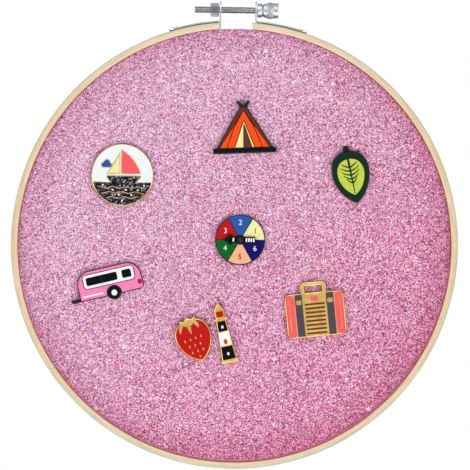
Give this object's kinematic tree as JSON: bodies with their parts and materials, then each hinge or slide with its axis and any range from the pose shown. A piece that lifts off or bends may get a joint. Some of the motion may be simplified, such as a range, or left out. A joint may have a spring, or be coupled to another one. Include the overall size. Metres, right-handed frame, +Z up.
{
  "type": "pin display hoop",
  "caption": "Round wooden hoop with a thumbscrew clamp that stretches a disc of glitter cloth, on which enamel pins are shown, each held by clutches behind the cloth.",
  "frame": {"origin": "hang point: underside of the screw half way between the two ears of the clamp, in the middle of the outer hoop's depth", "axes": "+Z up as it hangs, the cloth and the pins face -Y, +X to the right seen from the front, along the screw towards its head"},
  "size_m": [0.205, 0.0134, 0.2145],
  "materials": {
    "hoop_wood": "pale bamboo-like wood, sanded and unvarnished",
    "glitter_cloth": "pink cloth covered with fine silver and pink glitter flakes",
    "plated_steel": "bright nickel plating, turned and knurled",
    "sheet_steel": "thin bent sheet, dull grey",
    "gold_plate": "die-struck metal plated gold, polished raised lines",
    "dark_plate": "die-struck metal, black nickel plated",
    "clutch_rubber": "matt black moulded rubber",
    "enamel_white": "glossy soft enamel",
    "enamel_black": "glossy soft enamel",
    "enamel_coral": "glossy soft enamel",
    "enamel_orange": "glossy soft enamel",
    "enamel_cream": "glossy soft enamel",
    "enamel_dark_green": "glossy soft enamel",
    "enamel_leaf_green": "glossy soft enamel",
    "enamel_green": "glossy soft enamel",
    "enamel_blue": "glossy soft enamel",
    "enamel_navy": "glossy soft enamel",
    "enamel_red": "glossy soft enamel",
    "enamel_peach": "glossy soft enamel",
    "enamel_pink": "glossy soft enamel",
    "enamel_grey": "glossy soft enamel"
  },
  "bodies": {
    "left_half": {"outer_hoop_left": "hoop_wood", "bracket_left": "sheet_steel", "rivet_left": "plated_steel", "hex_nut": "plated_steel"},
    "right_half": {"outer_hoop_right": "hoop_wood", "bracket_right": "sheet_steel", "rivet_right": "plated_steel"},
    "screw": {"thumbscrew": "plated_steel"},
    "cloth_ring": {"inner_hoop": "hoop_wood", "cloth_face": "glitter_cloth", "cloth_band": "glitter_cloth"},
    "sailboat_pin": {"sailboat_plate": "gold_plate", "sailboat_sky": "enamel_white", "sailboat_sea": "enamel_black", "sailboat_sail": "enamel_coral"},
    "sailboat_clutch_a": {"sailboat_clutch_1": "clutch_rubber"},
    "sailboat_clutch_b": {"sailboat_clutch_2": "clutch_rubber"},
    "tent_pin": {"tent_plate": "dark_plate", "tent_canvas": "enamel_orange", "tent_doorway": "enamel_cream", "tent_ground": "enamel_black"},
    "tent_clutch_a": {"tent_clutch_1": "clutch_rubber"},
    "tent_clutch_b": {"tent_clutch_2": "clutch_rubber"},
    "leaf_pin": {"leaf_plate": "dark_plate", "leaf_border": "enamel_dark_green", "leaf_blade": "enamel_leaf_green"},
    "leaf_clutch_a": {"leaf_clutch_1": "clutch_rubber"},
    "leaf_clutch_b": {"leaf_clutch_2": "clutch_rubber"},
    "spinner_pin": {"spinner_plate": "dark_plate", "spinner_wedge_1": "enamel_cream", "spinner_wedge_2": "enamel_blue", "spinner_wedge_3": "enamel_red", "spinner_wedge_4": "enamel_green", "spinner_wedge_5": "enamel_peach", "spinner_wedge_6": "enamel_navy", "spinner_rivet": "dark_plate"},
    "pointer": {"spinner_pointer": "enamel_black"},
    "spinner_clutch_a": {"spinner_clutch_1": "clutch_rubber"},
    "spinner_clutch_b": {"spinner_clutch_2": "clutch_rubber"},
    "caravan_pin": {"caravan_plate": "dark_plate", "caravan_shell": "enamel_pink", "caravan_band": "enamel_white", "caravan_window": "enamel_black"},
    "caravan_clutch_a": {"caravan_clutch_1": "clutch_rubber"},
    "caravan_clutch_b": {"caravan_clutch_2": "clutch_rubber"},
    "strawberry_pin": {"strawberry_plate": "gold_plate", "strawberry_fruit": "enamel_red"},
    "strawberry_clutch_a": {"strawberry_clutch_1": "clutch_rubber"},
    "lighthouse_pin": {"lighthouse_plate": "gold_plate", "lighthouse_foot": "enamel_black", "lighthouse_band": "enamel_white", "lighthouse_shaft": "enamel_black"},
    "lighthouse_clutch_a": {"lighthouse_clutch_1": "clutch_rubber"},
    "suitcase_pin": {"suitcase_plate": "gold_plate", "suitcase_left_panel": "enamel_coral", "suitcase_left_strap": "enamel_grey", "suitcase_right_strap": "enamel_grey", "suitcase_right_panel": "enamel_coral"},
    "suitcase_clutch_a": {"suitcase_clutch_1": "clutch_rubber"},
    "suitcase_clutch_b": {"suitcase_clutch_2": "clutch_rubber"}
  },
  "joints": [
    {"name": "hoop_open", "type": "hinge", "parent": "left_half", "child": "right_half", "pos_m": [0, 0, -0.2075], "axis": [0, 1, 0], "range_deg": [0, 1.37]},
    {"name": "screw_turn", "type": "hinge", "parent": "right_half", "child": "screw", "pos_m": [0.009, 0, 0.00145], "axis": [1, 0, 0], "range_deg": [0, 3600]},
    {"name": "cloth_release", "type": "slide", "parent": "left_half", "child": "cloth_ring", "axis": [0, 1, 0], "range_m": [0, 0.025]},
    {"name": "sailboat_draw", "type": "slide", "parent": "cloth_ring", "child": "sailboat_pin", "axis": [0, -1, 0], "range_m": [0, 0.012]},
    {"name": "sailboat_unclutch_a", "type": "slide", "parent": "cloth_ring", "child": "sailboat_clutch_a", "axis": [0, 1, 0], "range_m": [0, 0.012]},
    {"name": "sailboat_unclutch_b", "type": "slide", "parent": "cloth_ring", "child": "sailboat_clutch_b", "axis": [0, 1, 0], "range_m": [0, 0.012]},
    {"name": "tent_draw", "type": "slide", "parent": "cloth_ring", "child": "tent_pin", "axis": [0, -1, 0], "range_m": [0, 0.012]},
    {"name": "tent_unclutch_a", "type": "slide", "parent": "cloth_ring", "child": "tent_clutch_a", "axis": [0, 1, 0], "range_m": [0, 0.012]},
    {"name": "tent_unclutch_b", "type": "slide", "parent": "cloth_ring", "child": "tent_clutch_b", "axis": [0, 1, 0], "range_m": [0, 0.012]},
    {"name": "leaf_draw", "type": "slide", "parent": "cloth_ring", "child": "leaf_pin", "axis": [0, -1, 0], "range_m": [0, 0.012]},
    {"name": "leaf_unclutch_a", "type": "slide", "parent": "cloth_ring", "child": "leaf_clutch_a", "axis": [0, 1, 0], "range_m": [0, 0.012]},
    {"name": "leaf_unclutch_b", "type": "slide", "parent": "cloth_ring", "child": "leaf_clutch_b", "axis": [0, 1, 0], "range_m": [0, 0.012]},
    {"name": "spinner_draw", "type": "slide", "parent": "cloth_ring", "child": "spinner_pin", "axis": [0, -1, 0], "range_m": [0, 0.012]},
    {"name": "pointer_spin", "type": "hinge", "parent": "spinner_pin", "child": "pointer", "pos_m": [0.0026, -0.005, -0.10395], "axis": [0, 1, 0], "continuous": true},
    {"name": "spinner_unclutch_a", "type": "slide", "parent": "cloth_ring", "child": "spinner_clutch_a", "axis": [0, 1, 0], "range_m": [0, 0.012]},
    {"name": "spinner_unclutch_b", "type": "slide", "parent": "cloth_ring", "child": "spinner_clutch_b", "axis": [0, 1, 0], "range_m": [0, 0.012]},
    {"name": "caravan_draw", "type": "slide", "parent": "cloth_ring", "child": "caravan_pin", "axis": [0, -1, 0], "range_m": [0, 0.012]},
    {"name": "caravan_unclutch_a", "type": "slide", "parent": "cloth_ring", "child": "caravan_clutch_a", "axis": [0, 1, 0], "range_m": [0, 0.012]},
    {"name": "caravan_unclutch_b", "type": "slide", "parent": "cloth_ring", "child": "caravan_clutch_b", "axis": [0, 1, 0], "range_m": [0, 0.012]},
    {"name": "strawberry_draw", "type": "slide", "parent": "cloth_ring", "child": "strawberry_pin", "axis": [0, -1, 0], "range_m": [0, 0.012]},
    {"name": "strawberry_unclutch", "type": "slide", "parent": "cloth_ring", "child": "strawberry_clutch_a", "axis": [0, 1, 0], "range_m": [0, 0.012]},
    {"name": "lighthouse_draw", "type": "slide", "parent": "cloth_ring", "child": "lighthouse_pin", "axis": [0, -1, 0], "range_m": [0, 0.012]},
    {"name": "lighthouse_unclutch", "type": "slide", "parent": "cloth_ring", "child": "lighthouse_clutch_a", "axis": [0, 1, 0], "range_m": [0, 0.012]},
    {"name": "suitcase_draw", "type": "slide", "parent": "cloth_ring", "child": "suitcase_pin", "axis": [0, -1, 0], "range_m": [0, 0.012]},
    {"name": "suitcase_unclutch_a", "type": "slide", "parent": "cloth_ring", "child": "suitcase_clutch_a", "axis": [0, 1, 0], "range_m": [0, 0.012]},
    {"name": "suitcase_unclutch_b", "type": "slide", "parent": "cloth_ring", "child": "suitcase_clutch_b", "axis": [0, 1, 0], "range_m": [0, 0.012]}
  ],
  "couplings": [
    {"joint": "screw_turn", "follows": "hoop_open", "ratio": 2625.7}
  ]
}
